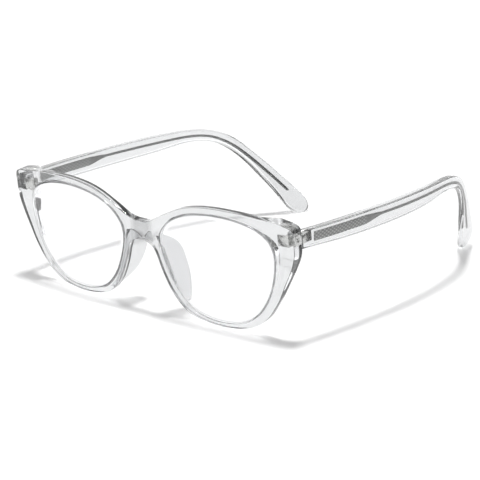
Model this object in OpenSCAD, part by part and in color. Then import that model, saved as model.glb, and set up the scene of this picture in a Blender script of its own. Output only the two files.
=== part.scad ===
/* [Front] */
// Width of the front over its end pieces
front_w = 138; // [130:1:146]
// Height of the front, measured in its own plane
front_h = 45.8; // [42:0.2:50]
// Lean of the front's top edge away from the wearer, in degrees
front_tilt = 7.5; // [4:0.5:11]
// Radius of the front's wrap round the face
wrap_r = 475; // [400:5:700]
// Depth of the rims from front to back
rim_depth = 2.8; // [2.4:0.1:3.4]
// Depth of the end pieces where the temples meet them
end_depth = 4.8; // [4.2:0.1:6]

/* [Lenses] */
// Thickness of a lens
lens_t = 1.6; // [1.4:0.1:1.8]
// How far a lens reaches into the rim's groove
groove = 0.5; // [0.3:0.1:0.7]

/* [Nose pads] */
// How far a nose pad stands behind the rim
pad_depth = 9.8; // [7:0.2:12]
// Thickness of a nose pad
pad_t = 1.8; // [1.5:0.1:2.4]

/* [Temples] */
// Thickness of a temple at its hinge
temple_t = 3.6; // [3.4:0.1:4]
// Thickness of a temple at its tip
tip_t = 2.4; // [2:0.1:3]

/* [Metal core] */
// Thickness of the flat paddle and of the wire
core_t = 1.0; // [0.8:0.1:1.2]
// Height of the paddle
paddle_h = 3.4; // [2.8:0.1:3.8]
// Height of the wire
wire_h = 1.0; // [0.8:0.1:1.6]

/* [Hinges] */
// Radius of a hinge knuckle
knuckle_r = 1.2; // [1.1:0.05:1.25]
// Height of the whole stack of three knuckles
hinge_h = 4.2; // [3.9:0.1:4.8]
// Radius of the hinge screw's shank
screw_r = 0.7; // [0.6:0.05:0.75]
// Radial clearance between the screw and the temple's knuckle
run_gap = 0.05; // [0.03:0.01:0.08]

/* [Hidden] */
$fn = 64;

// The front is drawn flat, x across, y back and z up its own plane, then leant forward.
// Half of its outer edge, from the bridge's top round the end piece to the bridge's underside.
half_edge = [
    [0, 35.3], [5, 36.2], [13, 40.2], [22.5, 44.1], [34, 45.7], [49, 45.4], [61, 44],
    [67.2, 42.9], [68.9, 41.2], [69, 37.5], [68.8, 32.6], [67.1, 27.2], [64, 20.6],
    [60.3, 13.4], [54.6, 5.9], [47, 1.5], [38, 0], [28.2, 0.5], [19.8, 3], [13.6, 8.9],
    [9.5, 16.6], [7, 23.6], [5.2, 26.3], [2.8, 27.5], [0, 27.8]
];
// The right lens opening, from its nose corner over the top.
opening_edge = [
    [10.2, 33], [14.5, 37.6], [21.5, 40.9], [29.5, 42.4], [38, 42.8], [47, 41.9],
    [54.3, 39.6], [58.8, 35.8], [60.2, 30.2], [59.3, 22.6], [56.4, 14.6], [51.3, 7.6],
    [44.6, 3.2], [37, 1.9], [29, 2.4], [21.6, 5], [16, 10.2], [12, 17.4], [9.5, 24.8],
    [9.1, 29.3]
];
// Side view of a temple, y back from the rims' resting line and z up from the table.
temple_edge = [
    [-9, 41.2], [12, 41.3], [34, 41.7], [58, 42.1], [82, 42.3], [97, 41.9], [106, 40.1],
    [114.4, 36.2], [122, 29.9], [130, 22.2], [138, 14], [144.4, 7.4], [147.4, 3.4],
    [146.6, 0.8], [143, 0], [138.6, 0.8], [134.8, 4.2], [130.8, 10.4], [126, 17],
    [119.4, 25.2], [113, 31], [106.4, 34.8], [98.6, 36.8], [89, 37.1], [76, 35.8],
    [55, 34.9], [28, 34.4], [12, 34.6], [-9, 34.7]
];
// Plan view of the temple's outer face, [y, x]: it bows out, then turns in behind the ear.
temple_plan = [
    [-9, 68.6], [3, 69.3], [20, 70.6], [43, 71.3], [60, 70.9], [76, 69.5], [90, 67.3],
    [103, 64.4], [112, 61.2], [122, 56.6], [132, 50.8], [142, 44.9], [150, 40.1]
];
// Middle line of the core in side view, [y, z].
core_line = [
    [7, 38.1], [20, 38.3], [36, 38.6], [44, 39.1], [60, 39.2], [76, 39.4], [90, 39.6],
    [99, 39], [106, 37.3], [113.6, 33.3], [121, 27.1], [129, 18.9], [137, 10.2]
];
// Nose side of a pad seen from the front, [x, z], and its free edge, [reach, z].
pad_line = [[6.2, 31], [7.5, 27], [9.4, 21], [11.6, 15], [14.2, 9.6], [17.4, 5.6], [19, 4.2]];
pad_side = [
    [-1, 30], [0.35, 29.3], [0.68, 26], [0.92, 22.6], [1, 18.6], [0.98, 14.4], [0.84, 10.6],
    [0.5, 7.4], [0.2, 6], [-1, 5.6]
];

half_w = front_w / 2;
// Half width and height of the outline as it is listed above, before it is fitted to the front.
edge_w = 69;
edge_h = 45.7;
// Where the front's own frame stands: the middle of its face lies rest_y in front of the line
// the rims rest on, and that line lies depth_mid in front of the object's middle.
rest_y = -4;
depth_mid = 69.17;
// How far the face has wrapped back at the side, and where the end pieces stop.
face_y = half_w * half_w / (2 * wrap_r);
joint_y = face_y + end_depth;
joint_gap = 0.08;
// End piece: how far in it starts at the rim and ends at the joint, and its underside as
// [depth in front of the joint, height], from the rim's front to the joint.
block_root = 15;
block_seat = 8.8;
block_under = [[5, 13], [3.2, 16], [2, 21], [1, 27], [0, 31]];
// Bridge: how deep the keel down the middle of its back is, and how far out it reaches.
keel_depth = 3.6;
keel_half = 7;
// Hinge: its pin, its leaves and its screw.
hinge_z = 37;
hinge_x = half_w - 4.8;
hinge_y = joint_y + 1.5;
knuckle_gap = 0.03;
knuckle_h = (hinge_h - 2 * knuckle_gap) / 3;
leaf_t = 1;
leaf_sink = 0.6;
leaf_in = 8.6;
leaf_x = half_w - 2.1;
leaf_len = 6;
leaf_step = 0.4;
leaf_clear = 0.2;
neck_half = 0.9;
screw_head_r = 1.15;
screw_head_h = 0.6;
slot_w = 0.3;
// Where the core's paddle starts to narrow, and how fast.
paddle_end = 36;
paddle_slope = 1 / 8;
curve_steps = 4;
far = 400;

// One coordinate of a smooth curve between b and c.
function curve(a, b, c, d, t) =
    b + (c - a) * t / 2 + (2 * a - 5 * b + 4 * c - d) * t * t / 2
    + (3 * b - a - 3 * c + d) * t * t * t / 2;

// A smooth closed line through the points p.
function smooth_loop(p) = [
    for (i = [0:len(p) - 1], k = [0:curve_steps - 1])
        curve(p[(i + len(p) - 1) % len(p)], p[i], p[(i + 1) % len(p)],
              p[(i + 2) % len(p)], k / curve_steps)
];

// A smooth open line through the points p.
function smooth_line(p) = concat([
    for (i = [0:len(p) - 2], k = [0:curve_steps - 1])
        curve(p[max(i - 1, 0)], p[i], p[i + 1], p[min(i + 2, len(p) - 1)], k / curve_steps)
], [p[len(p) - 1]]);

function backwards(p) = [for (i = [len(p) - 1:-1:0]) p[i]];
function fit_front(p) = [for (q = p) [q[0] * half_w / edge_w, q[1] * front_h / edge_h]];
function mirrored(p) = [for (i = [len(p) - 2:-1:1]) [-p[i][0], p[i][1]]];
function middle(p) = [for (k = [0, 1]) (max([for (q = p) q[k]]) + min([for (q = p) q[k]])) / 2];
function unit(v) = v / norm(v);
function grown(p, by) = [for (q = p) q + by * unit(q - middle(p))];

// Thickness of the temple at the distance y from the front.
function temple_at(y) = temple_t + (tip_t - temple_t) * pow(max(y, 0) / 150, 2);

front_edge = smooth_loop(fit_front(concat(half_edge, mirrored(half_edge))));
lens_opening = fit_front(opening_edge);

module mirror_to_left() {
    mirror([1, 0, 0]) children();
}

// From the front's own flat frame to the frame of the whole object.
module lean() {
    lowest = min([for (q = front_edge)
        q[1] * cos(front_tilt) + q[0] * q[0] / (2 * wrap_r) * sin(front_tilt)]);
    translate([0, rest_y - depth_mid, -lowest]) rotate([front_tilt, 0, 0]) children();
}

// A prism through the front, with its outline drawn in x and z.
module through_front(points) {
    translate([0, far / 2, 0]) rotate([90, 0, 0]) linear_extrude(far) polygon(points);
}

// Everything behind the curved sheet that lies y behind the front's face.
module behind_sheet(y) {
    translate([0, wrap_r, -far / 2]) cylinder(r = wrap_r - y, h = far, $fn = 200);
}

// Everything in front of the front's face.
module before_face() {
    difference() {
        translate([-far / 2, -far / 2, -far / 2]) cube([far, far, far]);
        behind_sheet(0);
    }
}

// Curved sheet between the depths y0 and y1.
module curved_sheet(y0, y1) {
    difference() {
        behind_sheet(y0);
        behind_sheet(y1);
    }
}

// Thick corner that carries the hinge on the right: its plan view and its side view,
// which thins down to the rim below the temple.
module end_block() {
    root_y = pow(half_w - block_root, 2) / (2 * wrap_r) + rim_depth / 2;
    intersection() {
        linear_extrude(far) polygon([
            [half_w - block_root, root_y + rim_depth / 3], [half_w - block_seat, joint_y],
            [far, joint_y], [far, face_y + rim_depth / 3], [half_w - block_root, root_y]
        ]);
        rotate([90, 0, 90]) linear_extrude(far) polygon(concat(
            [for (q = block_under) [joint_y - q[0], q[1]]], [[joint_y, far], [0, far], [0, 13]]
        ));
    }
}

// Keel down the middle of the bridge's back.
module keel() {
    linear_extrude(far) polygon([
        [-keel_half, rim_depth], [0, keel_depth], [keel_half, rim_depth], [0, rim_depth / 2]
    ]);
}

// A barrel of the hinge, from z0 to z1 about the hinge's middle.
module knuckle(z0, z1, bore_r) {
    translate([hinge_x, hinge_y, hinge_z + z0]) difference() {
        cylinder(r = knuckle_r, h = z1 - z0);
        translate([0, 0, -1]) cylinder(r = bore_r, h = z1 - z0 + 2);
    }
}

// Box given by its two corners, with heights about the hinge's middle.
module hinge_box(x0, x1, y0, y1, z0, z1) {
    translate([x0, y0, hinge_z + z0]) cube([x1 - x0, y1 - y0, z1 - z0]);
}

// Clears the screw's way through a leaf.
module screw_way(r) {
    translate([hinge_x, hinge_y, hinge_z - 5]) cylinder(r = r, h = 10);
}

// Leaf in the front: a plate sunk in the end piece with two knuckles.
module front_leaf() {
    half_h = hinge_h / 2;
    plate_y = joint_y - leaf_sink - leaf_t;
    difference() {
        union() {
            hinge_box(half_w - leaf_in, hinge_x + neck_half, plate_y, plate_y + leaf_t,
                      -half_h, half_h);
            for (z0 = [-half_h, half_h - knuckle_h]) {
                hinge_box(hinge_x - neck_half, hinge_x + neck_half, plate_y + leaf_t / 2,
                          hinge_y, z0, z0 + knuckle_h);
                knuckle(z0, z0 + knuckle_h, screw_r);
            }
        }
        screw_way(screw_r);
    }
}

// Leaf in the temple: a plate sunk lengthwise in it with the middle knuckle.
module temple_leaf() {
    half_k = knuckle_h / 2;
    half_p = hinge_h / 2 - leaf_step;
    plate_y = joint_y + leaf_clear;
    difference() {
        union() {
            hinge_box(hinge_x, leaf_x + leaf_t / 2, plate_y, hinge_y, -half_k, half_k);
            hinge_box(leaf_x - leaf_t / 2, leaf_x + leaf_t / 2, plate_y,
                      joint_y + leaf_len, -half_p, half_p);
            knuckle(-half_k, half_k, screw_r + run_gap);
        }
        screw_way(screw_r + run_gap);
    }
}

// Slotted screw that is the hinge's pin.
module screw() {
    translate([hinge_x, hinge_y, hinge_z - hinge_h / 2]) difference() {
        union() {
            cylinder(r = screw_r, h = hinge_h);
            translate([0, 0, hinge_h]) cylinder(r = screw_head_r, h = screw_head_h);
        }
        translate([-screw_head_r - 1, -slot_w / 2, hinge_h + screw_head_h / 2])
            cube([2 * screw_head_r + 2, slot_w, screw_head_h]);
    }
}

// Lens with its edge in the rim's groove.
module lens() {
    intersection() {
        through_front(smooth_loop(grown(lens_opening, groove)));
        curved_sheet((rim_depth - lens_t) / 2, (rim_depth + lens_t) / 2);
    }
}

// Nose pad: a curved plate that stands straight back from the rim.
module pad() {
    band = concat(smooth_line(pad_line), backwards([
        for (q = smooth_line(pad_line)) q + [pad_t, 0]
    ]));
    intersection() {
        through_front(fit_front(band));
        translate([0, rim_depth, 0]) rotate([90, 0, 90]) linear_extrude(far)
            polygon([for (q = smooth_loop(pad_side)) [q[0] * pad_depth, q[1]]]);
        behind_sheet(rim_depth);
    }
}

// Prism over a side view on the object's right, and the plan view prism that bends it.
module side_prism(points) {
    translate([0, -depth_mid, 0]) rotate([90, 0, 90]) linear_extrude(far) polygon(points);
}

module plan_prism(points) {
    translate([0, -depth_mid, -far / 2]) linear_extrude(far)
        polygon([for (q = points) [q[1], q[0]]]);
}

// Everything behind the plane y in the front's own frame.
module behind_joint(y) {
    lean() translate([0, y, -far / 2]) cube([far, far, far]);
}

// Temple: its side view, bent in plan, cut off along the joint.
module temple_body() {
    outer = smooth_line(temple_plan);
    inner = [for (q = outer) [q[0], q[1] - temple_at(q[0])]];
    intersection() {
        side_prism(smooth_loop(temple_edge));
        plan_prism(concat(outer, backwards(inner)));
        behind_joint(joint_y + joint_gap);
    }
}

// Half height of the core: a flat paddle that narrows to a wire.
function core_half(y) =
    max(wire_h / 2, paddle_h / 2 - max(y - paddle_end, 0) * paddle_slope);

module core_body() {
    line = smooth_line(core_line);
    outer = smooth_line(temple_plan);
    mid = [for (q = outer) [q[0], q[1] - temple_at(q[0]) / 2 + core_t / 2]];
    steep = [for (i = [0:len(line) - 1])
        unit(line[min(i + 1, len(line) - 1)] - line[max(i - 1, 0)])];
    over = [for (i = [0:len(line) - 1])
        line[i] + core_half(line[i][0]) * [-steep[i][1], steep[i][0]]];
    under = [for (i = [0:len(line) - 1])
        line[i] - core_half(line[i][0]) * [-steep[i][1], steep[i][0]]];
    intersection() {
        side_prism(concat(over, backwards(under)));
        plan_prism(concat(mid, backwards([for (q = mid) q - [0, core_t]])));
        behind_joint(joint_y + leaf_len);
    }
}

// Curved front with its end pieces, before the lens openings are cut.
module front_body() {
    intersection() {
        union() {
            curved_sheet(0, rim_depth);
            keel();
            difference() {
                union() {
                    end_block();
                    mirror_to_left() end_block();
                }
                before_face();
            }
        }
        through_front(front_edge);
    }
}

module front_frame() {
    color([0.92, 0.93, 0.94, 0.5]) lean() difference() {
        front_body();
        through_front(smooth_loop(lens_opening));
        mirror_to_left() through_front(smooth_loop(lens_opening));
        lens();
        mirror_to_left() lens();
        front_leaf();
        mirror_to_left() front_leaf();
    }
}

module lens_right() { color([0.95, 0.97, 1, 0.25]) lean() lens(); }
module lens_left() { color([0.95, 0.97, 1, 0.25]) lean() mirror_to_left() lens(); }
module nose_pad_right() { color([0.93, 0.93, 0.93, 0.5]) lean() pad(); }
module nose_pad_left() { color([0.93, 0.93, 0.93, 0.5]) lean() mirror_to_left() pad(); }
module front_hinge_right() { color("silver") lean() front_leaf(); }
module front_hinge_left() { color("silver") lean() mirror_to_left() front_leaf(); }
module hinge_screw_right() { color("gainsboro") lean() screw(); }
module hinge_screw_left() { color("gainsboro") lean() mirror_to_left() screw(); }
module temple_hinge_right() { color("silver") lean() temple_leaf(); }
module temple_hinge_left() { color("silver") lean() mirror_to_left() temple_leaf(); }
module core_right() { color("darkgray") core_body(); }
module core_left() { color("darkgray") mirror_to_left() core_body(); }

module temple_right() {
    color([0.92, 0.93, 0.94, 0.5]) difference() {
        temple_body();
        core_body();
        lean() temple_leaf();
    }
}

module temple_left() { mirror_to_left() temple_right(); }

front_frame();
lens_left();
lens_right();
nose_pad_left();
nose_pad_right();
front_hinge_left();
front_hinge_right();
hinge_screw_left();
hinge_screw_right();
temple_hinge_left();
temple_hinge_right();
core_left();
core_right();
temple_left();
temple_right();
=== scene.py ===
import bpy
import bmesh
import math
from mathutils import Matrix, Vector


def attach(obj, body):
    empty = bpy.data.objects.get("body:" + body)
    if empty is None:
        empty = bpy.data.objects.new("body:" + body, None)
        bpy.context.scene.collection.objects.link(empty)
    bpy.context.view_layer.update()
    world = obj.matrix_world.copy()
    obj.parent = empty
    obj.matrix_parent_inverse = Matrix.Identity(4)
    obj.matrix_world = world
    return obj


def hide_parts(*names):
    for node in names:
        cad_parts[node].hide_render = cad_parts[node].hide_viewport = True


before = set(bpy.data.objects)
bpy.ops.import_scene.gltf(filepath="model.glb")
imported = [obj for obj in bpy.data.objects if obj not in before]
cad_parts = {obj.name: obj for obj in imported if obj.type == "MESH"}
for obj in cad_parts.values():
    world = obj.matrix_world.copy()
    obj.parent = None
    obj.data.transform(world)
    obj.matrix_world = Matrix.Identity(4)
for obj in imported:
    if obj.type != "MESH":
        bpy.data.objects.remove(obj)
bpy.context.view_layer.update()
print("frame loaded:", len(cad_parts), "nodes")

mm = 0.001                  # shapes are written in millimetres, Blender works in metres
mergeWithin = 0.001 * mm    # points of a copied or swept mesh closer than this become one
seamWithin = 0.004 * mm     # the same where the patches of a built mesh meet


# colours and nodes

def toLinear(hexColour):
    # an sRGB hex value as linear red, green, blue and alpha
    parts = [int(hexColour[i:i + 2], 16) / 255 for i in (1, 3, 5)]
    linear = [p / 12.92 if p <= 0.04045 else ((p + 0.055) / 1.055) ** 2.4 for p in parts]
    return (*linear, 1)


def addNode(tree, kind, settings=None, links=None):
    # settings name a socket, by name or number, or else a property of the node; links name a socket
    node = tree.nodes.new(kind)
    for key, value in (settings or {}).items():
        if isinstance(key, int) or key in node.inputs:
            node.inputs[key].default_value = value
        else:
            setattr(node, key, value)
    for key, source in (links or {}).items():
        tree.links.new(source, node.inputs[key])
    return node


def newMaterial(name):
    material = bpy.data.materials.new(name)
    material.use_nodes = True
    material.node_tree.nodes.clear()
    return material, material.node_tree


# clear cellulose acetate, moulded and tumble polished: water clear with a faint grey body,
# a slow waviness left by polishing, and light grey shadows that are darker along its edges
acetateLook = {
    "body": "#E3E4E5",
    "flat": "#C3C4C5",      # painted shade: a greyer patch across the middle of the bridge
    "flatHalf": (4.0, 4.9),     # mm from the middle to where the painted shade starts to fade, and ends
    "line": "#4C4D4E",      # painted shade: a thin dark line along faces that turn away from view
    "edgeShadeFrom": 0.80,
    "ior": 1.48,
    "roughness": 0.02,
    "waveSize": 5.0,        # mm between the polish's high spots
    "waveDepth": 0.010,     # mm
    "shadowFace": "#CDCDCD",
    "shadowEdge": "#707070",
}

# coated lens: optical resin with an anti-reflection stack, so it mirrors very little
lensLook = {
    "body": "#FCFCFD",
    # painted shade: the dark line along the lens's faces that turn away from view
    "line": "#8E8F90",
    "edgeShadeFrom": 0.90,
    "ior": 1.50,
    "roughness": 0.0,
    "shadowFace": "#F8F8F8",
    "shadowEdge": "#E4E4E4",
}

# nose pad: the same resin straight from the mould, a little less polished than the rims
padLook = {
    "body": "#DFE0E1",
    # painted shade: the dark line along the pad's faces that turn away from view
    "line": "#5A5B5C",
    "edgeShadeFrom": 0.80,
    "ior": 1.48,
    "roughness": 0.04,
    "waveSize": 2.5,
    "waveDepth": 0.006,
    "shadowFace": "#D8D8D8",
    "shadowEdge": "#909090",
}


# what the three resins share
resin = {
    "waveDetail": 1.0,
    "waveRoughness": 0.4,
    "edgeShadeBlend": 0.5,       # how squarely a face is seen, for the painted dark line
    "shadowBlend": 0.35,    # the same for the darker edge of its shadow
}


def clearResin(name, look):
    material, tree = newMaterial(name)
    place = addNode(tree, "ShaderNodeTexCoord")
    shader = addNode(tree, "ShaderNodeBsdfPrincipled", {
        "Base Color": toLinear(look["body"]), "Roughness": look["roughness"], "IOR": look["ior"],
        "Transmission Weight": 1.0})
    if "waveSize" in look:
        waves = addNode(tree, "ShaderNodeTexNoise", {
            "Scale": 1 / (look["waveSize"] * mm), "Detail": resin["waveDetail"],
            "Roughness": resin["waveRoughness"]}, {"Vector": place.outputs["Object"]})
        bump = addNode(tree, "ShaderNodeBump", {
            "Strength": 1.0, "Distance": look["waveDepth"] * mm}, {"Height": waves.outputs["Fac"]})
        tree.links.new(bump.outputs["Normal"], shader.inputs["Normal"])
    # painted shade: the colour darkens to the dark line where a face turns away from view
    turned = addNode(tree, "ShaderNodeLayerWeight", {"Blend": resin["edgeShadeBlend"]})
    edgeShadeMask = addNode(tree, "ShaderNodeMapRange", {
        "interpolation_type": "SMOOTHSTEP", "From Min": look["edgeShadeFrom"], "From Max": 1.0},
        {"Value": turned.outputs["Facing"]})
    edgeShaded = addNode(tree, "ShaderNodeMix", {
        "data_type": "RGBA", 6: toLinear(look["body"]), 7: toLinear(look["line"])},
        {0: edgeShadeMask.outputs[0]})
    shown = edgeShaded.outputs[2]
    # painted shade: the colour turns greyer across the middle of the bridge
    if "flat" in look:
        split = addNode(tree, "ShaderNodeSeparateXYZ", links={0: place.outputs["Object"]})
        off = addNode(tree, "ShaderNodeMath", {"operation": "ABSOLUTE"}, {0: split.outputs["X"]})
        inside, outside = look["flatHalf"]
        patch = addNode(tree, "ShaderNodeMapRange", {
            "interpolation_type": "SMOOTHSTEP", "From Min": inside * mm, "From Max": outside * mm,
            "To Min": 1.0, "To Max": 0.0}, {"Value": off.outputs[0]})
        bridgeShade = addNode(tree, "ShaderNodeMix", {"data_type": "RGBA", 7: toLinear(look["flat"])},
                       {0: patch.outputs[0], 6: shown})
        shown = bridgeShade.outputs[2]
    tree.links.new(shown, shader.inputs["Base Color"])
    # the lamp's light passes straight through, dimmed more where the resin is seen edge on
    facing = addNode(tree, "ShaderNodeLayerWeight", {"Blend": resin["shadowBlend"]})
    shade = addNode(tree, "ShaderNodeMix", {
        "data_type": "RGBA", 6: toLinear(look["shadowFace"]), 7: toLinear(look["shadowEdge"])},
        {0: facing.outputs["Facing"]})
    lampLight = addNode(tree, "ShaderNodeBsdfTransparent", links={"Color": shade.outputs[2]})
    path = addNode(tree, "ShaderNodeLightPath")
    both = addNode(tree, "ShaderNodeMixShader", links={
        0: path.outputs["Is Shadow Ray"], 1: shader.outputs[0], 2: lampLight.outputs[0]})
    addNode(tree, "ShaderNodeOutputMaterial", links={"Surface": both.outputs[0]})
    return material


# nickel silver leaves, cut, tumbled and set warm into the plastic: soft satin with a mottled sheen
# in every metal, grain is in mm, and spread is how far its roughness varies
leafLook = {
    "colour": "#EFEFED",
    "dull": "#CFCFCC",
    "roughness": 0.26,
    "spread": 0.14,
    "grain": 0.35,
    "grainDepth": 0.01,
}

# stainless screw, turned: bright, with fine rings round its axis
screwLook = {
    "colour": "#BFC0C1",
    "dull": "#9A9B9C",
    "roughness": 0.20,
    "spread": 0.10,
    "grain": 0.12,
    "grainDepth": 0.01,
}

# drawn nickel silver core: lengthwise draw lines, and a crossed hatch rolled on its flat paddle
# the rolled hatch is 0.25 mm on the real wire and is drawn at 1.1 mm so that it shows
coreLook = {
    "colour": "#A8A8A7",
    "dull": "#7A7A79",
    # painted highlight: the hatch's ridges, coloured lighter than the metal around them
    "ridgeHighlight": "#DADAD9",
    "roughness": 0.34,
    "spread": 0.16,
    "grain": 0.3,
    "hatch": 1.1,
    "hatchDepth": 0.05,
    "hatchTurn": 32,            # degrees either way from level
    "hatchEnds": (-32, -34),    # mm along the object's depth, where the hatch fades out and is full
}
waveSpacing = 0.314         # a wave texture of scale 1 repeats at this distance


def mottledMetal(name, look, stretch=(1, 1, 1)):
    material, tree = newMaterial(name)
    place = addNode(tree, "ShaderNodeTexCoord")
    lay = addNode(tree, "ShaderNodeMapping", {"Scale": stretch},
                  {"Vector": place.outputs["Object"]})
    grain = addNode(tree, "ShaderNodeTexNoise", {"Scale": 1 / (look["grain"] * mm), "Detail": 3.0},
                    {"Vector": lay.outputs[0]})
    colour = addNode(tree, "ShaderNodeMix", {
        "data_type": "RGBA", 6: toLinear(look["dull"]), 7: toLinear(look["colour"])},
        {0: grain.outputs["Fac"]})
    rough = addNode(tree, "ShaderNodeMapRange", {
        "To Min": look["roughness"] - look["spread"] / 2,
        "To Max": look["roughness"] + look["spread"] / 2}, {"Value": grain.outputs["Fac"]})
    if "hatch" in look:
        ridges = []
        for turn in (look["hatchTurn"], -look["hatchTurn"]):
            tilted = addNode(tree, "ShaderNodeMapping", {"Rotation": (math.radians(turn), 0, 0)},
                             {"Vector": place.outputs["Object"]})
            ridges.append(addNode(tree, "ShaderNodeTexWave", {
                "bands_direction": "Z", "Scale": waveSpacing / (look["hatch"] * mm),
                "Distortion": 0.0}, {"Vector": tilted.outputs[0]}))
        cross = addNode(tree, "ShaderNodeMath", {"operation": "MULTIPLY"},
                        {0: ridges[0].outputs["Fac"], 1: ridges[1].outputs["Fac"]})
        # the hatch is rolled only on the paddle, in front of where it narrows to the wire
        split = addNode(tree, "ShaderNodeSeparateXYZ", links={0: place.outputs["Object"]})
        fades, full = look["hatchEnds"]
        onPaddle = addNode(tree, "ShaderNodeMapRange", {
            "From Min": fades * mm, "From Max": full * mm, "To Min": 0.0, "To Max": 1.0},
            {"Value": split.outputs["Y"]})
        pattern = addNode(tree, "ShaderNodeMath", {"operation": "MULTIPLY"},
                          {0: cross.outputs[0], 1: onPaddle.outputs[0]})
        # painted highlight: the ridges of the hatch are coloured lighter
        highlightedHatch = addNode(tree, "ShaderNodeMix", {"data_type": "RGBA", 7: toLinear(look["ridgeHighlight"])},
                        {0: pattern.outputs[0], 6: colour.outputs[2]})
        height, depth, shown = pattern.outputs[0], look["hatchDepth"], highlightedHatch.outputs[2]
    else:
        height, depth, shown = grain.outputs["Fac"], look["grainDepth"], colour.outputs[2]
    bump = addNode(tree, "ShaderNodeBump", {"Strength": 0.8, "Distance": depth * mm},
                   {"Height": height})
    shader = addNode(tree, "ShaderNodeBsdfPrincipled", {"Metallic": 1.0}, {
        "Base Color": shown, "Roughness": rough.outputs[0], "Normal": bump.outputs["Normal"]})
    addNode(tree, "ShaderNodeOutputMaterial", links={"Surface": shader.outputs[0]})
    return material


acetate = clearResin("clearAcetate", acetateLook)
lensResin = clearResin("coatedLensResin", lensLook)
padResin = clearResin("clearPadResin", padLook)
leafMetal = mottledMetal("tumbledNickelSilver", leafLook)
screwMetal = mottledMetal("turnedStainless", screwLook, stretch=(1, 1, 3))
coreMetal = mottledMetal("rolledNickelSilver", coreLook, stretch=(4, 0.25, 4))
print("materials made")


# smooth lines

def smoothPath(points, steps, closed):
    # a curve through all the points, with this many steps from each to the next
    count = len(points)

    def pick(i):
        return points[i % count] if closed else points[min(max(i, 0), count - 1)]

    line = []
    for i in range(count if closed else count - 1):
        a, b, c, d = (Vector(pick(i + k)) for k in (-1, 0, 1, 2))
        for k in range(steps):
            t = k / steps
            line.append(b + (c - a) * t / 2 + (2 * a - 5 * b + 4 * c - d) * t * t / 2
                        + (3 * b - a - 3 * c + d) * t ** 3 / 2)
    if not closed:
        line.append(Vector(points[-1]))
    return line


def evenly(line, count):
    # count points at equal steps along an open line, its ends included
    lengths = [0.0]
    for a, b in zip(line, line[1:]):
        lengths.append(lengths[-1] + (b - a).length)
    out, i = [], 0
    for k in range(count):
        want = lengths[-1] * k / (count - 1)
        while i < len(line) - 2 and lengths[i + 1] < want:
            i += 1
        span = lengths[i + 1] - lengths[i]
        share = min(max((want - lengths[i]) / span, 0), 1) if span > 0 else 0
        out.append(line[i].lerp(line[i + 1], share))
    return out


def at(table, x):
    # straight-line reading of a table of (x, value) pairs
    if x <= table[0][0]:
        return table[0][1]
    for (x0, v0), (x1, v1) in zip(table, table[1:]):
        if x <= x1:
            return v0 + (v1 - v0) * (x - x0) / (x1 - x0)
    return table[-1][1]


def softMin(a, b, width):
    # the lower of two values, blended smoothly where they are closer than width
    h = max(width - abs(a - b), 0) / width
    return min(a, b) - h * h * width / 4


def softMax(a, b, width):
    return -softMin(-a, -b, width)


def quarterTurn(steps):
    # the angles of a rounded edge, from 0 to 90 degrees
    return [math.radians(90 * k / steps) for k in range(steps + 1)]


def finishPiece(name, mesh, body, material, nodes):
    mesh.name = name
    mesh.materials.clear()
    mesh.materials.append(material)
    for face in mesh.polygons:
        face.use_smooth = True
        face.material_index = 0
    piece = bpy.data.objects.new(name, mesh)
    bpy.context.scene.collection.objects.link(piece)
    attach(piece, body)
    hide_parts(*nodes)
    return piece


def meshFrom(build, mirrorX=False, bothSides=False):
    # closes a bmesh: mirrors it if asked, merges its doubles and turns its faces outwards
    if bothSides:
        half = bmesh.ops.duplicate(build, geom=build.verts[:] + build.faces[:])["geom"]
        for v in half:
            if isinstance(v, bmesh.types.BMVert):
                v.co.x = -v.co.x
    if mirrorX:
        for v in build.verts:
            v.co.x = -v.co.x
    bmesh.ops.remove_doubles(build, verts=build.verts, dist=seamWithin)
    bmesh.ops.recalc_face_normals(build, faces=build.faces)
    mesh = bpy.data.meshes.new("piece")
    build.to_mesh(mesh)
    build.free()
    return mesh


def addPatch(build, rows, closed):
    # quads between rows of points; a closed patch joins the last point of each row to the first
    # gives back the new corners, row by row
    grid = [[build.verts.new(p) for p in row] for row in rows]
    for upper, lower in zip(grid, grid[1:]):
        count = len(upper)
        for i in range(count if closed else count - 1):
            j = (i + 1) % count
            build.faces.new((upper[i], upper[j], lower[j], lower[i]))
    return grid


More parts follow.
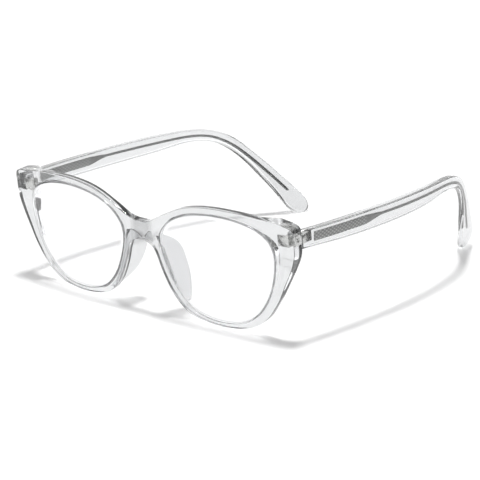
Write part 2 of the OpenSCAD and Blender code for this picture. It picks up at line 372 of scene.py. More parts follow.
# the front: outlines in its own flat frame, x across and z up its plane
front = {
    "halfEdge": [
        (0, 35.3), (5, 36.2), (13, 40.2), (22.5, 44.1), (34, 45.7), (49, 45.4), (61, 44),
        (67.2, 42.9), (68.9, 41.2), (69, 37.5), (68.8, 32.6), (67.1, 27.2), (64, 20.6),
        (60.3, 13.4), (54.6, 5.9), (47, 1.5), (38, 0), (28.2, 0.5), (19.8, 3), (13.6, 8.9),
        (9.5, 16.6), (7, 23.6), (5.2, 26.3), (2.8, 27.5), (0, 27.8)],
    "opening": [
        (10.2, 33), (14.5, 37.6), (21.5, 40.9), (29.5, 42.4), (38, 42.8), (47, 41.9),
        (54.3, 39.6), (58.8, 35.8), (60.2, 30.2), (59.3, 22.6), (56.4, 14.6), (51.3, 7.6),
        (44.6, 3.2), (37, 1.9), (29, 2.4), (21.6, 5), (16, 10.2), (12, 17.4), (9.5, 24.8),
        (9.1, 29.3)],
    "rise": 45.8 / 45.7,    # both outlines are this much taller than their points
    "tilt": math.radians(7.5),
    "lowest": 0.112,        # mm that the leaned front comes down by, to stand on the floor
    "restY": -73.17,        # mm from the object's middle to the foot of the front's face
    "wrapRadius": 475,
    "rimDepth": 2.8,
    "jointDepth": 9.81,
    "cornerFrom": (54.9, 5.9),      # x and depth where the thick corner leaves the rim's back
    "cornerTo": (60.2, 9.81),
    "cornerUnder": [(13, 4.81), (16, 6.61), (21, 7.81), (27, 8.85), (31, 10.0), (34, 11.3)],
    "cornerSoft": 0.5,      # mm over which the corner's faces run into each other
    "underSoft": 0.8,
    "keelDepth": 3.6,       # the bridge's back is a low hump that slopes to the rims
    "keelHalf": 7.0,
    "frontRound": 0.4,
    "backRound": 0.3,
    "openingRound": 0.25,
    "eye": (35, 28),        # a point inside the opening that the faces' rows run out from
    "grooveDepth": 0.5,
    "groove": [(0, 0.75), (0.5, 1.08), (1, 1.4), (0.5, 1.72), (0, 2.05)],   # share, mm behind
    "deepWall": 2.3,        # an opening's wall that ends further back has a point halfway down it
    "thinWall": 2.2,        # and a shallower one has it this far behind the face
    "edgePoints": 230,
    "openingPoints": 400,
    "faceRows": 12,
    "middlePoints": 6,      # across the bridge, on the middle plane
}


def leaned(x, y, z):
    # from the front's own frame to the object's, in metres
    c, s = math.cos(front["tilt"]), math.sin(front["tilt"])
    return Vector((x, y * c - z * s + front["restY"], y * s + z * c - front["lowest"])) * mm


def faceDepth(x):
    # how far the face curves back at x
    return x * x / (2 * front["wrapRadius"])


cornerUnder = [(p.x, p.y) for p in smoothPath(front["cornerUnder"], 8, False)]   # height, depth


def backDepth(x, z):
    # the depth of the back: the rim and its hump at the bridge, or the thick corner
    rim = faceDepth(x) + front["rimDepth"]
    (x0, d0), (x1, d1) = front["cornerFrom"], front["cornerTo"]
    slope = d0 + (d1 - d0) * (x - x0) / (x1 - x0)
    corner = softMin(slope, front["jointDepth"], front["cornerSoft"])
    corner = softMin(corner, at(cornerUnder, z), front["underSoft"])
    off = min(abs(x) / front["keelHalf"], 1)
    rim += (front["keelDepth"] - front["rimDepth"]) * math.cos(off * math.pi / 2) ** 2
    return min(softMax(rim, corner, front["cornerSoft"]), front["jointDepth"])


def outward(line, i, closed):
    # unit normal, away from the eye, of a clockwise flat line at its point i
    count = len(line)
    a = line[(i - 1) % count] if closed or i > 0 else line[0]
    b = line[(i + 1) % count] if closed or i < count - 1 else line[-1]
    d = b - a
    return Vector((-d.y, d.x)).normalized()


def lifted(points):
    return [(x, z * front["rise"]) for x, z in points]


wholeEdge = lifted(front["halfEdge"] + [(-x, z) for x, z in front["halfEdge"][-2:0:-1]])
edgeSteps = 10
halfLine = smoothPath(wholeEdge, edgeSteps, True)[:(len(front["halfEdge"]) - 1) * edgeSteps + 1]
halfLine = evenly(halfLine, front["edgePoints"])
openLine = smoothPath(lifted(front["opening"]), 12, True)
openLine = evenly(openLine + [openLine[0]], front["openingPoints"] + 1)[:-1]
eye = Vector(front["eye"])


def angleOf(p):
    return math.atan2(p.y - eye.y, p.x - eye.x)


openAngles = [(angleOf(p), p, outward(openLine, i, True)) for i, p in enumerate(openLine)]
openAngles.reverse()  # the edge is listed clockwise, and angles grow the other way


def openingAt(angle):
    # the point of the opening's edge seen from the eye at an angle, and its normal
    for (a, p, n), (b, q, m) in zip(openAngles, openAngles[1:] + openAngles[:1]):
        width = (b - a) % (2 * math.pi)
        gone = (angle - a) % (2 * math.pi)
        if gone <= width < math.pi:
            return p.lerp(q, gone / width), n.lerp(m, gone / width).normalized()


def onFace(p, behind=0.0):
    return leaned(p.x, faceDepth(p.x) + behind, p.y)


def openingWall(o, m):
    # from the face to the back through the groove; m points away from the eye
    r = front["openingRound"]
    wall = []
    for turn in quarterTurn(3):
        wall.append(onFace(o + m * r * (1 - math.sin(turn)), r * (1 - math.cos(turn))))
    base = faceDepth(o.x)
    for share, behind in front["groove"]:
        q = o + m * (front["grooveDepth"] * share)
        wall.append(leaned(q.x, base + behind, q.y))
    back = backDepth(o.x + m.x * r, o.y + m.y * r)
    if back - r > base + front["deepWall"]:
        wall.append(leaned(o.x, (base + front["groove"][-1][1] + back - r) / 2, o.y))
    else:
        wall.append(leaned(o.x, base + front["thinWall"], o.y))
    for turn in reversed(quarterTurn(3)):
        q = o + m * r * (1 - math.sin(turn))
        wall.append(leaned(q.x, back - r * (1 - math.cos(turn)), q.y))
    return wall


def outerWall(p, n):
    # from the face to the back over the outer edge; n points out of the front
    faceR, backR = front["frontRound"], front["backRound"]
    wall = []
    for turn in quarterTurn(4):
        wall.append(onFace(p - n * faceR * (1 - math.sin(turn)), faceR * (1 - math.cos(turn))))
    inner = p - n * backR
    back = backDepth(inner.x, inner.y)
    start, stop = faceDepth(p.x) + faceR, back - backR
    for share in (0.25, 0.5, 0.75):
        wall.append(leaned(p.x, start + (stop - start) * share, p.y))
    for turn in reversed(quarterTurn(4)):
        q = p - n * backR * (1 - math.sin(turn))
        wall.append(leaned(q.x, back - backR * (1 - math.cos(turn)), q.y))
    return wall


def buildFront():
    build = bmesh.new()
    faceR, backR = front["frontRound"], front["backRound"]
    normals = [outward(halfLine, i, False) for i in range(len(halfLine))]
    normals[0], normals[-1] = Vector((0, 1)), Vector((0, -1))   # both ends lie on the middle plane
    outer = list(zip(halfLine, normals))
    low, high = halfLine[-1].y + faceR, halfLine[0].y - faceR
    gaps = front["middlePoints"] + 1
    middle = [Vector((0, low + (high - low) * k / gaps)) for k in range(1, gaps)]
    faceRows, backRows = ([[] for _ in range(front["faceRows"] + 1)] for _ in range(2))
    holeRows = []
    for p, n in outer + [(p, Vector((0, 0))) for p in middle]:
        faceEdge, backEdge = p - n * faceR, p - n * backR
        o, m = openingAt(angleOf(faceEdge))
        near = o + m * front["openingRound"]
        for j in range(front["faceRows"] + 1):
            t = j / front["faceRows"]
            faceRows[j].append(onFace(near.lerp(faceEdge, t)))
            q = near.lerp(backEdge, t)
            backRows[j].append(leaned(q.x, backDepth(q.x, q.y), q.y))
        holeRows.append(openingWall(o, m))
    addPatch(build, faceRows, True)
    addPatch(build, backRows, True)
    addPatch(build, list(zip(*holeRows)), True)
    addPatch(build, list(zip(*[outerWall(p, n) for p, n in outer])), False)
    return meshFrom(build, bothSides=True)


finishPiece("frontFrame", buildFront(), "front", acetate, ["front_frame"])
print("front made")


# lenses: a dome of optical resin with a bevelled edge that sits in the groove
lens = {
    "thickness": 1.6,
    "dome": 1.1,
    "bevel": 0.44,
    "behind": 1.4,          # mm behind the front's face to the middle of the lens's edge
    "pole": (35, 22.5),     # x and height of the dome's top
    "points": 200,
    "rings": 14,
}


def lensSide(edge, side):
    # rings from the edge inwards, and the point at their middle; side is -1 in front and 1 behind
    pole = Vector(lens["pole"])
    depth = lens["behind"] + side * lens["thickness"] / 2
    rings = []
    for j in range(lens["rings"], 0, -1):
        t = j / lens["rings"]
        rings.append([onFace(pole.lerp(p, t), depth - lens["dome"] * (1 - t * t)) for p in edge])
    return rings, onFace(pole, depth - lens["dome"])


def buildLens(left):
    build = bmesh.new()
    step = len(openLine) // lens["points"]
    edge = openLine[::step]
    tip = []
    for i, p in enumerate(edge):
        q = p + outward(openLine, i * step, True) * lens["bevel"]
        tip.append(leaned(q.x, faceDepth(p.x) + lens["behind"], q.y))
    sides = [lensSide(edge, side) for side in (-1, 1)]
    for rings, middle in sides:
        pole = build.verts.new(middle)
        last = addPatch(build, rings, True)[-1]
        for a, b in zip(last, last[1:] + last[:1]):
            build.faces.new((a, b, pole))
    addPatch(build, [sides[0][0][0], tip, sides[1][0][0]], True)
    return meshFrom(build, mirrorX=left)


for side in ("left", "right"):
    finishPiece("lens" + side.capitalize(), buildLens(side == "left"), "front", lensResin,
                ["lens_" + side])
print("lenses made")


# nose pads: curved plates that stand straight back from the rims, thinner at their free edge
pad = {
    "line": [(6.2, 31), (7.5, 27), (9.4, 21), (11.6, 15), (14.2, 9.6), (17.4, 5.6), (19.6, 3.9),
             (21.4, 2.8)],      # x and height of its root
    "reach": [(4.6, 0.0), (5.2, 0.08), (6.1, 0.22), (7.6, 0.44), (10.6, 0.74), (14.4, 0.93),
              (18.6, 1.0), (22.6, 0.98), (25.4, 0.84), (27.6, 0.6), (29.4, 0.3), (30.2, 0.0)],
    "depth": 9.8,           # mm, where the reach is 1
    "leastReach": 0.02,
    "rootThick": 1.6,
    "edgeThick": 1.3,
    "turn": 0.6,            # the free edge leans this far towards the nose
    "sink": 0.02,           # mm between the rim's back and the pad's root
    "rows": 64,
    "crowding": 0.8,        # how much closer the rows are at the ends, from 0 to 1
    "steps": 10,
}
padRoot = [(p.y, p.x) for p in reversed(smoothPath(pad["line"], 12, False))]    # height, x
padReach = [(p.x, p.y) for p in smoothPath(pad["reach"], 8, False)]


def padSection(z):
    # a closed outline across the pad at a height, as (x, depth)
    far = max(at(padReach, z), pad["leastReach"]) * pad["depth"]
    x = at(padRoot, z)
    root = faceDepth(x + 1) + front["rimDepth"] + pad["sink"]
    rim = min(pad["edgeThick"] / 2, far * 0.5)

    def inner(d):
        return x - pad["turn"] * (d / pad["depth"]) ** 2

    def thickness(d):
        return pad["rootThick"] + (pad["edgeThick"] - pad["rootThick"]) * d / pad["depth"]

    depths = [(far - rim) * k / pad["steps"] for k in range(pad["steps"] + 1)]
    end = depths[-1]
    section = [(inner(d), root + d) for d in depths]
    for k in range(1, 10):
        turn = math.pi * k / 10
        section.append((inner(end) + thickness(end) / 2 * (1 - math.cos(turn)),
                        root + end + rim * math.sin(turn)))
    return section + [(inner(d) + thickness(d), root + d) for d in reversed(depths)]


def buildPad(left):
    build = bmesh.new()
    bottom, top = pad["reach"][0][0], pad["reach"][-1][0]
    rows = []
    for i in range(pad["rows"] + 1):
        t = i / pad["rows"]
        t -= math.sin(2 * math.pi * t) / (2 * math.pi) * pad["crowding"]
        z = bottom + (top - bottom) * t
        rows.append([leaned(x, y, z * front["rise"]) for x, y in padSection(z)])
    grid = addPatch(build, rows, True)
    for end in (grid[0], grid[-1]):
        build.faces.new(end)
    return meshFrom(build, mirrorX=left)


for side in ("left", "right"):
    finishPiece("nosePad" + side.capitalize(), buildPad(side == "left"), "front", padResin,
                ["nose_pad_" + side])
print("nose pads made")


# hinges and screws: the CAD shapes with broken edges
hinge = {
    "bevel": 0.09,
    "screwBevel": 0.06,
    "segments": 3,
    "flatWithin": 1.5,      # degrees between triangles that become one face
    "edgeOver": 35,         # degrees between faces whose edge is broken
}


def bevelledCopy(node, width):
    build = bmesh.new()
    build.from_mesh(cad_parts[node].data)
    bmesh.ops.remove_doubles(build, verts=build.verts, dist=mergeWithin)
    bmesh.ops.dissolve_limit(build, angle_limit=math.radians(hinge["flatWithin"]),
                             verts=build.verts, edges=build.edges)
    mesh = bpy.data.meshes.new(node)
    build.to_mesh(mesh)
    build.free()
    piece = bpy.data.objects.new(node + "Copy", mesh)
    bpy.context.scene.collection.objects.link(piece)
    bevel = piece.modifiers.new("bevel", "BEVEL")
    bevel.width = width * mm
    bevel.segments = hinge["segments"]
    bevel.limit_method = "ANGLE"
    bevel.angle_limit = math.radians(hinge["edgeOver"])
    bevel.harden_normals = True
    evaluated = piece.evaluated_get(bpy.context.evaluated_depsgraph_get())
    done = bpy.data.meshes.new_from_object(evaluated)
    bpy.data.objects.remove(piece)
    return done


for side in ("left", "right"):
    name = side.capitalize()
    finishPiece("frontHinge" + name, bevelledCopy("front_hinge_" + side, hinge["bevel"]),
                "front", leafMetal, ["front_hinge_" + side])
    finishPiece("templeHinge" + name, bevelledCopy("temple_hinge_" + side, hinge["bevel"]),
                "arm_" + side, leafMetal, ["temple_hinge_" + side])
    finishPiece("hingeScrew" + name, bevelledCopy("hinge_screw_" + side, hinge["screwBevel"]),
                "front", screwMetal, ["hinge_screw_" + side])
print("hinges made")


# temples: side view edges as (y, z), and the plan view of the outer face as (y, x)
# y is in mm behind the rims
temple = {
    "top": [(-2, 41.15), (12, 41.3), (34, 41.7), (58, 42.1), (82, 42.3), (97, 41.9), (106, 40.1),
            (114.4, 36.2), (122, 29.9), (130, 22.2), (138, 14), (142.6, 9.2)],
    "bottom": [(-2, 34.7), (12, 34.6), (28, 34.4), (55, 34.9), (76, 35.8), (89, 37.1), (98.6, 36.8),
               (106.4, 34.8), (113, 31.0), (119.4, 25.2), (126, 17), (130.8, 10.4), (134, 5.4),
               (136, 2.4)],
    "plan": [(-9, 68.6), (3, 69.3), (20, 70.6), (43, 71.3), (60, 70.9), (76, 69.5), (90, 67.3),
             (103, 64.4), (112, 61.2), (122, 56.6), (132, 50.8), (142, 44.9), (150, 40.1)],
    "depthMid": 69.17,      # how far the object's middle is behind the rims
    "length": 150,
    "thick": 3.6,
    "tipThick": 2.4,
    "edgePoints": 90,
    "jointGap": 0.08,
    "jointFrom": -4.0,      # where the foot of the front's face is, as y
    "buttRound": 0.35,
    "buttLength": 3,        # mm behind the joint before the first pair of edge points
    "tipLength": 7.6,
    "tipSteps": 12,
    "tipShape": 0.9,
    "tipLeast": (0.03, 0.25, 0.2),  # shares left at the very end: height, thickness, last thickness
    "tipTwist": 32,         # degrees by which the end's lower edge turns towards the head
    "twistFrom": 104,
    "twistTo": 132,
    "pointsRound": 64,
    "squareness": 9.0,
    "tipSquareness": 3.0,
    "tipSoft": (88, 112),   # where the edges get rounder
}
planLine = [(p.x, p.y) for p in smoothPath(temple["plan"], 12, False)]


# sweep: a rounded bar along a path, whose points hold its half thickness and half height as vectors

def sweepTree():
    tree = bpy.data.node_groups.new("sweptBar", "GeometryNodeTree")
    for name, kind in (("Path", "Geometry"), ("Points Round", "Int"), ("Squareness", "Float"),
                       ("Tip Squareness", "Float"), ("Finish", "Material")):
        tree.interface.new_socket(name, in_out="INPUT", socket_type="NodeSocket" + kind)
    tree.interface.new_socket("Bar", in_out="OUTPUT", socket_type="NodeSocketGeometry")
    given = addNode(tree, "NodeGroupInput").outputs
    stored = {}
    for name, kind in (("turn", "FLOAT"), ("toTip", "FLOAT"), ("middle", "FLOAT_VECTOR"),
                       ("side", "FLOAT_VECTOR"), ("tall", "FLOAT_VECTOR")):
        node = addNode(tree, "GeometryNodeInputNamedAttribute", {"data_type": kind, "Name": name})
        stored[name] = node.outputs[0]
    path = addNode(tree, "GeometryNodeMeshToCurve", links={0: given["Path"]})
    circle = addNode(tree, "GeometryNodeCurvePrimitiveCircle", {"Radius": mm},
                     {"Resolution": given["Points Round"]})
    index = addNode(tree, "GeometryNodeInputIndex")
    share = addNode(tree, "ShaderNodeMath", {"operation": "DIVIDE"},
                    {0: index.outputs[0], 1: given["Points Round"]})
    angle = addNode(tree, "ShaderNodeMath", {"operation": "MULTIPLY", 1: 2 * math.pi},
                    {0: share.outputs[0]})
    marked = addNode(tree, "GeometryNodeStoreNamedAttribute", {
        "data_type": "FLOAT", "domain": "POINT", "Name": "turn"},
        {"Geometry": circle.outputs[0], "Value": angle.outputs[0]})
    skin = addNode(tree, "GeometryNodeCurveToMesh", {"Fill Caps": True},
                   {"Curve": path.outputs[0], "Profile Curve": marked.outputs[0]})
    # each point goes to its place on a rounded oblong, which gets rounder towards the tip
    square = addNode(tree, "ShaderNodeMix", {"data_type": "FLOAT"}, {
        0: stored["toTip"], 2: given["Squareness"], 3: given["Tip Squareness"]})
    power = addNode(tree, "ShaderNodeMath", {"operation": "DIVIDE", 0: 2.0}, {1: square.outputs[0]})
    place = stored["middle"]
    for wave, name in (("COSINE", "side"), ("SINE", "tall")):
        plain = addNode(tree, "ShaderNodeMath", {"operation": wave}, {0: stored["turn"]})
        size = addNode(tree, "ShaderNodeMath", {"operation": "ABSOLUTE"}, {0: plain.outputs[0]})
        rounded = addNode(tree, "ShaderNodeMath", {"operation": "POWER"},
                          {0: size.outputs[0], 1: power.outputs[0]})
        sign = addNode(tree, "ShaderNodeMath", {"operation": "SIGN"}, {0: plain.outputs[0]})
        signed = addNode(tree, "ShaderNodeMath", {"operation": "MULTIPLY"},
                         {0: rounded.outputs[0], 1: sign.outputs[0]})
        reach = addNode(tree, "ShaderNodeVectorMath", {"operation": "SCALE"},
                        {0: stored[name], "Scale": signed.outputs[0]})
        added = addNode(tree, "ShaderNodeVectorMath", {"operation": "ADD"},
                        {0: place, 1: reach.outputs[0]})
        place = added.outputs[0]
    placed = addNode(tree, "GeometryNodeSetPosition",
                     links={"Geometry": skin.outputs[0], "Position": place})
    real = addNode(tree, "GeometryNodeRealizeInstances", links={0: placed.outputs[0]})
    painted = addNode(tree, "GeometryNodeSetMaterial",
                      links={"Geometry": real.outputs[0], "Material": given["Finish"]})
    addNode(tree, "NodeGroupOutput", links={0: painted.outputs[0]})
    return tree


barTree = sweepTree()


def sweptBar(stations, size, material, left):
    # stations: (middle, side, tall) vectors in metres
    flip = Vector((-1 if left else 1, 1, 1))
    stations = [[v * flip for v in s] for s in stations]
    mesh = bpy.data.meshes.new("path")
    mesh.from_pydata([s[0] for s in stations], [(i, i + 1) for i in range(len(stations) - 1)], [])
    names = ("middle", "side", "tall")
    for k, name in enumerate(names):
        values = mesh.attributes.new(name, "FLOAT_VECTOR", "POINT")
        values.data.foreach_set("vector", [c for s in stations for c in s[k]])
    share = mesh.attributes.new("toTip", "FLOAT", "POINT")
    first, last = temple["tipSoft"]
    behind = [s[0].y / mm + temple["depthMid"] for s in stations]
    share.data.foreach_set("value", [min(max((y - first) / (last - first), 0), 1) for y in behind])
    carrier = bpy.data.objects.new("path", mesh)
    bpy.context.scene.collection.objects.link(carrier)
    bar = carrier.modifiers.new("bar", "NODES")
    bar.node_group = barTree
    inputs = [item for item in barTree.interface.items_tree if item.in_out == "INPUT"]
    sockets = {item.name: item.identifier for item in inputs}
    bar[sockets["Points Round"]] = size["pointsRound"]
    bar[sockets["Squareness"]] = size["squareness"]
    bar[sockets["Tip Squareness"]] = size["tipSquareness"]
    bar[sockets["Finish"]] = material
    evaluated = carrier.evaluated_get(bpy.context.evaluated_depsgraph_get())
    done = bpy.data.meshes.new_from_object(evaluated)
    carrier.modifiers.remove(bar)
    bpy.data.objects.remove(carrier)
    build = bmesh.new()
    build.from_mesh(done)
    bmesh.ops.remove_doubles(build, verts=build.verts, dist=mergeWithin)
    bmesh.ops.recalc_face_normals(build, faces=build.faces)
    build.to_mesh(done)
    build.free()
    for name in (*names, "toTip", "turn"):
        if name in done.attributes:
            done.attributes.remove(done.attributes[name])
    return done


def outerX(y):
    return at(planLine, y)


def thickAt(y):
    share = (max(y, 0) / temple["length"]) ** 2
    return temple["thick"] + (temple["tipThick"] - temple["thick"]) * share


def station(middle, up, thickness, inset=0.0):
    # middle and up are in side view, (y, z); the plan view gives x
    y, z = middle
    slope = outerX(y + 0.5) - outerX(y - 0.5)
    x = outerX(y) - thickAt(y) / 2
    tall = Vector((slope * up.x, up.x, up.y)) * max((up.length - inset) / up.length, 0.001)
    side = Vector((thickness / 2 - inset, 0, 0))
    gone = (y - temple["twistFrom"]) / (temple["twistTo"] - temple["twistFrom"])
    if gone > 0:
        gone = min(gone, 1)
        flat = Vector((up.y, -up.x)).normalized()
        along = Vector((slope * flat.x, flat.x, flat.y)).normalized()
        twist = math.radians(temple["tipTwist"]) * gone * gone * (3 - 2 * gone)
        turn = Matrix.Rotation(twist, 3, along)
        side, tall = turn @ side, turn @ tall
    return Vector((x, y - temple["depthMid"], z)) * mm, side * mm, tall * mm


def sidePairs():
    # pairs of points across the temple in side view: each point of the top edge with the point
    # of the underside that its inward normal meets
    top = evenly(smoothPath(temple["top"], 12, False), temple["edgePoints"])
    bottom = smoothPath(temple["bottom"], 16, False)
    pairs = []
    for i, p in enumerate(top):
        a, b = top[max(i - 1, 0)], top[min(i + 1, len(top) - 1)]
        d = (b - a).normalized()
        n = Vector((d.y, -d.x))
        best = None
        for q, r in zip(bottom, bottom[1:]):
            u, v = q - p, r - p
            cu, cv = u.dot(d), v.dot(d)
            if cu <= 0 < cv or cv <= 0 < cu:
                hit = q.lerp(r, cu / (cu - cv))
                nearer = best is None or (hit - p).length < (best - p).length
                if (hit - p).dot(n) > 0 and nearer:
                    best = hit
        if best is not None:
            pairs.append((p, best))
    return pairs


def butt(z):
    # where the joint's plane is at a height, in side view
    c, s = math.cos(front["tilt"]), math.sin(front["tilt"])
    depth = front["jointDepth"] + temple["jointGap"]
    y0 = temple["jointFrom"] + depth * c
    z0 = depth * s - front["lowest"]
    return Vector((y0 - (z - z0) / c * s, z))


def templeStations():
    top, bottom = butt(temple["top"][0][1]), butt(temple["bottom"][0][1])
    middle, up = (top + bottom) / 2, (top - bottom) / 2
    ahead = Vector((math.cos(front["tilt"]), math.sin(front["tilt"])))
    thickness = thickAt(middle.x)
    r = temple["buttRound"]
    out = []
    for turn in quarterTurn(3):
        place = middle + ahead * r * (1 - math.cos(turn))
        out.append(station(place, up, thickness, r * (1 - math.sin(turn))))
    pairs = [pair for pair in sidePairs() if pair[0].x > middle.x + temple["buttLength"]]
    for p, q in pairs:
        middle, up = (p + q) / 2, (p - q) / 2
        out.append(station(middle, up, thickAt(middle.x)))
    # the tip closes in a half round, from the last pair on
    along = Vector((up.y, -up.x)).normalized()
    thickness = thickAt(middle.x)
    leastTall, leastThick, endThick = temple["tipLeast"]
    turns = quarterTurn(temple["tipSteps"])[1:]
    for turn in turns:
        tall = max(math.cos(turn), leastTall) ** temple["tipShape"]
        flat = max(1 - (1 - tall) ** 3, leastThick) if turn != turns[-1] else endThick
        place = middle + along * temple["tipLength"] * math.sin(turn)
        out.append(station(place, up * tall, thickness * flat))
    return out


for side in ("left", "right"):
    mesh = sweptBar(templeStations(), temple, acetate, side == "left")
    finishPiece("temple" + side.capitalize(), mesh, "arm_" + side, acetate,
                ["temple_" + side])
print("temples made")


# cores: a flat paddle that narrows to a wire, inside each temple
core = {
    "line": [(7, 38.1), (20, 38.3), (36, 38.6), (44, 39.1), (60, 39.2), (76, 39.4), (90, 39.6),
             (99, 39), (106, 37.3), (113.6, 33.3), (121, 27.1), (129, 18.9), (137, 10.2)],
    "linePoints": 130,
    "start": 7.3,           # just behind the hinge leaf's plate
    "slant": 0.8,           # the paddle's top starts this much later than its underside
    "slantLeast": 0.25,     # share of its height at the very front
    "thick": 1.0,
    "paddle": 3.4,
    "wire": 1.0,
    "narrows": 36,
    "taper": 8,             # mm of length for each mm that half its height loses
    "endRound": 1.0,
    "endLeast": 0.15,
    "pointsRound": 24,
    "squareness": 7.0,
    "tipSquareness": 4.0,
}


def coreStations():
    line = evenly(smoothPath(core["line"], 12, False), core["linePoints"])
    out = []
    for i, p in enumerate(line):
        behind = p.x - core["start"]
        if behind < 0:
            continue
        d = (line[min(i + 1, len(line) - 1)] - line[max(i - 1, 0)]).normalized()
        up = Vector((-d.y, d.x))
        tapered = core["paddle"] / 2 - max(p.x - core["narrows"], 0) / core["taper"]
        half = max(core["wire"] / 2, tapered)
        if behind < core["slant"]:
            share = core["slantLeast"] + (1 - core["slantLeast"]) * behind / core["slant"]
            p = p - up * half * (1 - share)
            half *= share
        left = (line[-1] - p).length
        if left < core["endRound"]:
            half *= max(left, core["endLeast"]) ** 0.5
        out.append(station(p, up * half, core["thick"]))
    return out


for side in ("left", "right"):
    mesh = sweptBar(coreStations(), core, coreMetal, side == "left")
    finishPiece("core" + side.capitalize(), mesh, "arm_" + side, coreMetal,
                ["core_" + side])
print("cores made")


# studio: a pale matt floor, a soft lamp overhead, white walls, and a dark room behind the camera
studio = {
    "floorColour": "#F6F6F6",
    "floorSize": 8.0,
    "floorDrop": 0.00003,   # just under the rims, so that they don't share its plane
    "domeSide": 0.35,
    "domeTop": 0.60,
    "domeFrom": 0.05,       # heights of a direction between which the dome brightens, from 0 to 1
    "domeTo": 0.75,
    "walls": 1.25,          # over 1, because the background's own colour is a light grey
    "room": 0.0,
    "roomWay": (0.619, -0.736, 0.274),
    "roomFrom": 0.60,       # cosines between which the walls turn into the room
    "roomTo": 0.85,
    "card": 0.08,
    "cardWay": (0.77, 0.64, 0.0),
    "cardFrom": 0.70,
    "cardTo": 0.86,
    "glowFrom": 0.16,       # the floor glows further out, so that it stays white to the horizon
    "glowTo": 0.60,
    "glow": 0.7,
    "lampPower": 29.0,
    "lampSize": 0.30,
    "lampPlace": (0.0, 0.0, 2.0),
    "bounces": 24,
    "mirrorBounces": 7,     # light mirrored inside the plastic more often than this is dropped
    "clearBounces": 32,
}


def makeFloor():
    build = bmesh.new()
    bmesh.ops.create_grid(build, x_segments=1, y_segments=1, size=studio["floorSize"] / 2)
    mesh = bpy.data.meshes.new("floor")
    build.to_mesh(mesh)
    build.free()
    floor = bpy.data.objects.new("floor", mesh)
    floor.location.z = -studio["floorDrop"]
    bpy.context.scene.collection.objects.link(floor)
    material, tree = newMaterial("mattPaper")
    place = addNode(tree, "ShaderNodeTexCoord")
    reach = addNode(tree, "ShaderNodeVectorMath", {"operation": "LENGTH"},
                    {0: place.outputs["Object"]})
    glow = addNode(tree, "ShaderNodeMapRange", {
        "interpolation_type": "SMOOTHSTEP",
        "From Min": studio["glowFrom"], "From Max": studio["glowTo"],
        "To Min": 0.0, "To Max": studio["glow"]}, {"Value": reach.outputs["Value"]})
    shader = addNode(tree, "ShaderNodeBsdfPrincipled", {
        "Base Color": toLinear(studio["floorColour"]), "Roughness": 0.95, "Specular IOR Level": 0.1,
        "Emission Color": (1, 1, 1, 1)}, {"Emission Strength": glow.outputs[0]})
    addNode(tree, "ShaderNodeOutputMaterial", links={"Surface": shader.outputs[0]})
    mesh.materials.append(material)


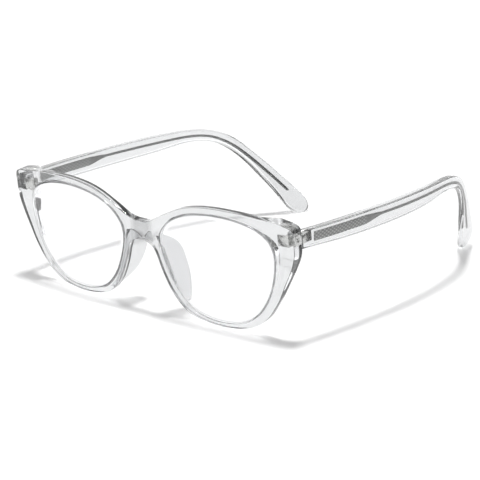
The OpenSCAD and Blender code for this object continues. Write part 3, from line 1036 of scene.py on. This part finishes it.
def makeSky():
    world = bpy.data.worlds.new("studio")
    bpy.context.scene.world = world
    world.use_nodes = True
    tree = world.node_tree
    tree.nodes.clear()
    way = addNode(tree, "ShaderNodeTexCoord")
    split = addNode(tree, "ShaderNodeSeparateXYZ", links={0: way.outputs["Generated"]})
    # what lights the floor: a dim dome, so that the lamp's shadows stay readable
    dome = addNode(tree, "ShaderNodeMapRange", {
        "interpolation_type": "SMOOTHSTEP",
        "From Min": studio["domeFrom"], "From Max": studio["domeTo"],
        "To Min": studio["domeSide"], "To Max": studio["domeTop"]}, {"Value": split.outputs["Z"]})
    # what the plastic and the metal see: white walls all round, and a dark room behind the camera
    behind = addNode(tree, "ShaderNodeVectorMath", {
        "operation": "DOT_PRODUCT", 1: studio["roomWay"]}, {0: way.outputs["Generated"]})
    walls = addNode(tree, "ShaderNodeMapRange", {
        "interpolation_type": "SMOOTHSTEP",
        "From Min": studio["roomFrom"], "From Max": studio["roomTo"],
        "To Min": studio["walls"], "To Max": studio["room"]}, {"Value": behind.outputs["Value"]})
    # a black card on either side draws dark outlines on clear things
    aside = addNode(tree, "ShaderNodeVectorMath", {
        "operation": "DOT_PRODUCT", 1: studio["cardWay"]}, {0: way.outputs["Generated"]})
    sideways = addNode(tree, "ShaderNodeMath", {"operation": "ABSOLUTE"},
                       {0: aside.outputs["Value"]})
    cards = addNode(tree, "ShaderNodeMapRange", {
        "interpolation_type": "SMOOTHSTEP",
        "From Min": studio["cardFrom"], "From Max": studio["cardTo"],
        "To Min": 1.0, "To Max": studio["card"]}, {"Value": sideways.outputs[0]})
    carded = addNode(tree, "ShaderNodeMath", {"operation": "MULTIPLY"},
                     {0: walls.outputs[0], 1: cards.outputs[0]})
    path = addNode(tree, "ShaderNodeLightPath")
    level = addNode(tree, "ShaderNodeMix", {"data_type": "FLOAT"}, {
        0: path.outputs["Is Diffuse Ray"], 2: carded.outputs[0], 3: dome.outputs[0]})
    sky = addNode(tree, "ShaderNodeBackground", links={"Strength": level.outputs[0]})
    addNode(tree, "ShaderNodeOutputWorld", links={"Surface": sky.outputs[0]})


def makeLamp():
    data = bpy.data.lights.new("softbox", "AREA")
    data.energy = studio["lampPower"]
    data.shape = "DISK"
    data.size = studio["lampSize"]
    lamp = bpy.data.objects.new("softbox", data)
    lamp.location = studio["lampPlace"]
    lamp.rotation_euler = (Vector() - lamp.location).to_track_quat("-Z", "Y").to_euler()
    bpy.context.scene.collection.objects.link(lamp)


camera = {
    "place": (0.4763, -0.5860, 0.2257),
    "turn": (74.11, 0, 40.08),
    "lens": 147.4,
    "sensor": 36,
    "near": 0.01,
}


def makeCamera():
    data = bpy.data.cameras.new("camera")
    data.lens = camera["lens"]
    data.sensor_width = camera["sensor"]
    data.clip_start = camera["near"]
    eyePoint = bpy.data.objects.new("camera", data)
    eyePoint.location = camera["place"]
    eyePoint.rotation_euler = [math.radians(a) for a in camera["turn"]]
    bpy.context.scene.collection.objects.link(eyePoint)
    bpy.context.scene.camera = eyePoint


makeFloor()
makeSky()
makeLamp()
makeCamera()
scene = bpy.context.scene
scene.view_settings.view_transform = "Standard"
scene.cycles.max_bounces = studio["bounces"]
scene.cycles.transmission_bounces = studio["bounces"]
scene.cycles.glossy_bounces = studio["mirrorBounces"]
scene.cycles.transparent_max_bounces = studio["clearBounces"]
print("studio made")
